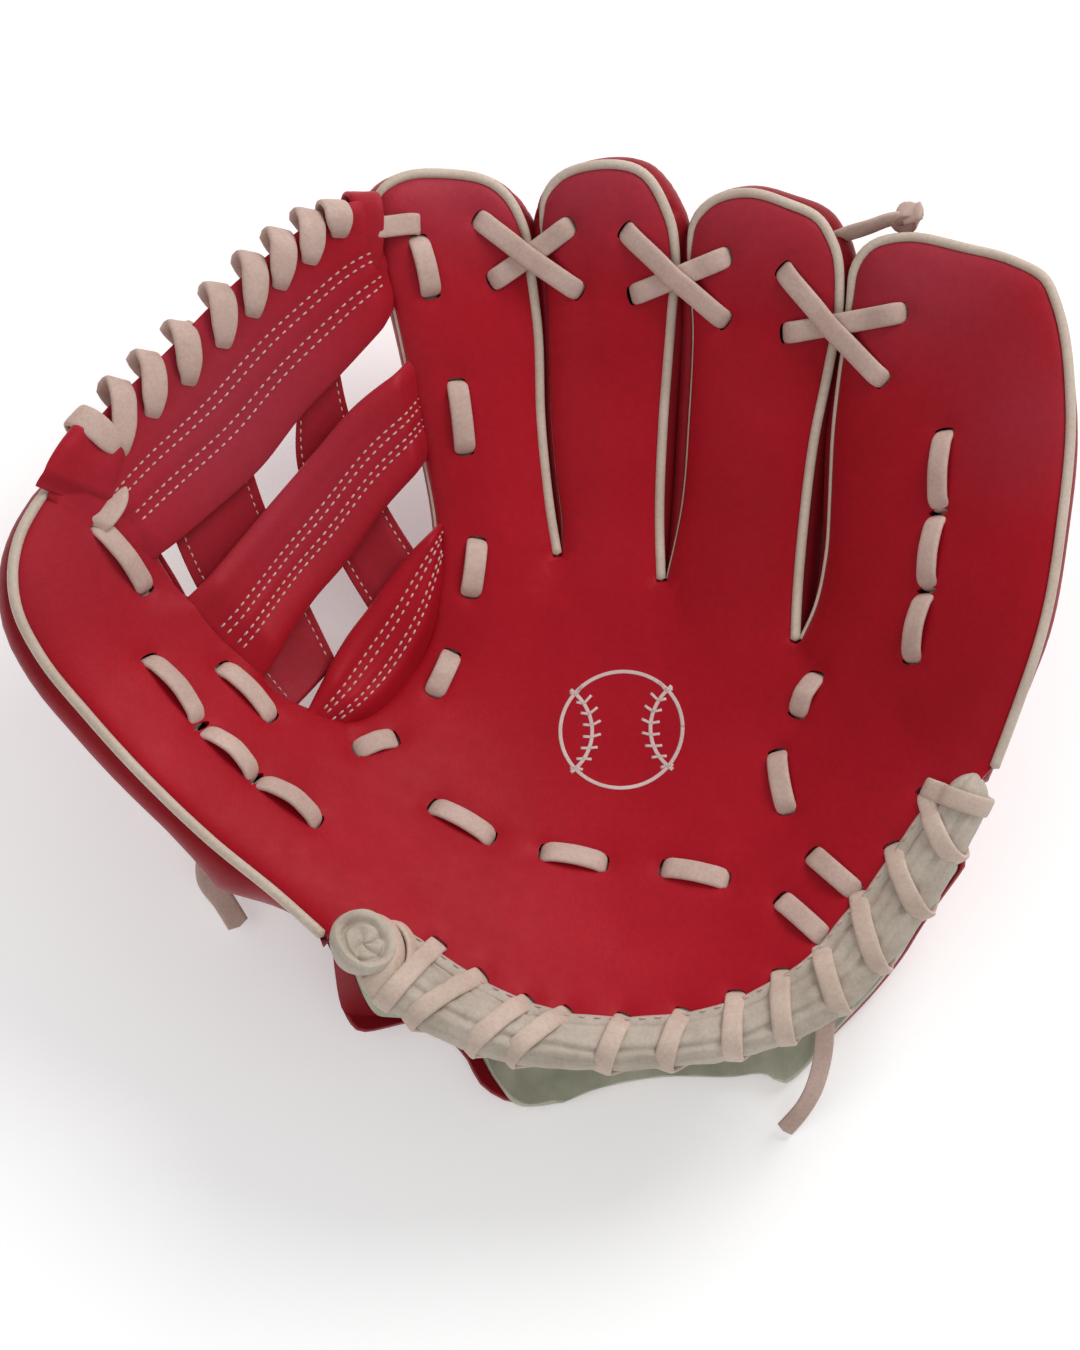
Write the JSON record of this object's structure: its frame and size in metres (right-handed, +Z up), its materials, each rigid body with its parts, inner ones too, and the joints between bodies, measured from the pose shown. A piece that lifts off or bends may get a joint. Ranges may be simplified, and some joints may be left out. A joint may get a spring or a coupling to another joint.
{
  "type": "baseball fielder's glove",
  "caption": "Youth leather baseball fielder's glove for the left hand, lying open on its back, with laced fingers, a bar web and a rolled heel binding.",
  "frame": {"origin": "on the flat rest face of the back panel, under the pocket", "axes": "+X from the thumb to the little finger, +Y from the wrist to the finger tips, +Z up out of the pocket"},
  "size_m": [0.3054, 0.2677, 0.1064],
  "materials": {
    "front_leather": "semi-gloss grained synthetic leather",
    "back_leather": "semi-gloss grained synthetic leather",
    "web_leather": "semi-gloss grained synthetic leather",
    "lace": "matte rawhide lace",
    "piping": "matte piping",
    "heel_binding": "matte soft leather roll",
    "lining": "soft lining cloth",
    "felt": "pressed felt"
  },
  "bodies": {
    "palm": {"back_panel": "back_leather", "binding_rosette": "heel_binding", "finger_lace_end": "lace", "finger_lace_knot": "lace", "heel_anchor_lace": "lace", "heel_binding": "heel_binding", "heel_lace": "lace", "heel_lace_tail": "lace", "index_back": "back_leather", "index_middle_lace": "lace", "index_piping": "piping", "index_tip_loop": "web_leather", "index_web_lace": "lace", "middle_back": "back_leather", "middle_piping": "piping", "middle_ring_lace": "lace", "palm_lace": "lace", "palm_lining": "lining", "palm_pad": "felt", "palm_shell": "front_leather", "ring_back": "back_leather", "ring_little_lace": "lace", "ring_piping": "piping", "web_cross_strap_left": "web_leather", "web_cross_strap_right": "web_leather", "web_lower_bar": "web_leather", "web_middle_bar": "web_leather", "web_top_bar": "web_leather", "web_top_lace": "lace", "wrist_strap": "back_leather", "wrist_strap_lining": "lining"},
    "thumb": {"thumb_shell": "front_leather", "thumb_back": "back_leather", "thumb_pad": "felt", "thumb_piping": "piping", "thumb_loop": "lining", "thumb_loop_lace": "lace", "thumb_web_lace": "lace", "thumb_tip_loop": "web_leather", "thumb_lace_tail": "lace"},
    "little_finger": {"little_finger_shell": "front_leather", "little_finger_back": "back_leather", "little_finger_pad": "felt", "little_finger_piping": "piping", "little_finger_loop": "lining", "little_finger_loop_lace": "lace"}
  },
  "joints": [
    {"name": "thumb_close", "type": "hinge", "parent": "palm", "child": "thumb", "pos_m": [-0.0545, -0.011, 0.04162], "axis": [0.0273, 0.9279, -0.3717], "range_deg": [0, 25], "deforming": ["web_top_bar", "web_middle_bar", "web_lower_bar", "web_cross_strap_right", "web_cross_strap_left", "web_top_lace"]},
    {"name": "little_finger_close", "type": "hinge", "parent": "palm", "child": "little_finger", "pos_m": [0.0715, 0.008, 0.05032], "axis": [0.6702, -0.6363, 0.3821], "range_deg": [0, 25], "deforming": ["ring_little_lace"]}
  ]
}
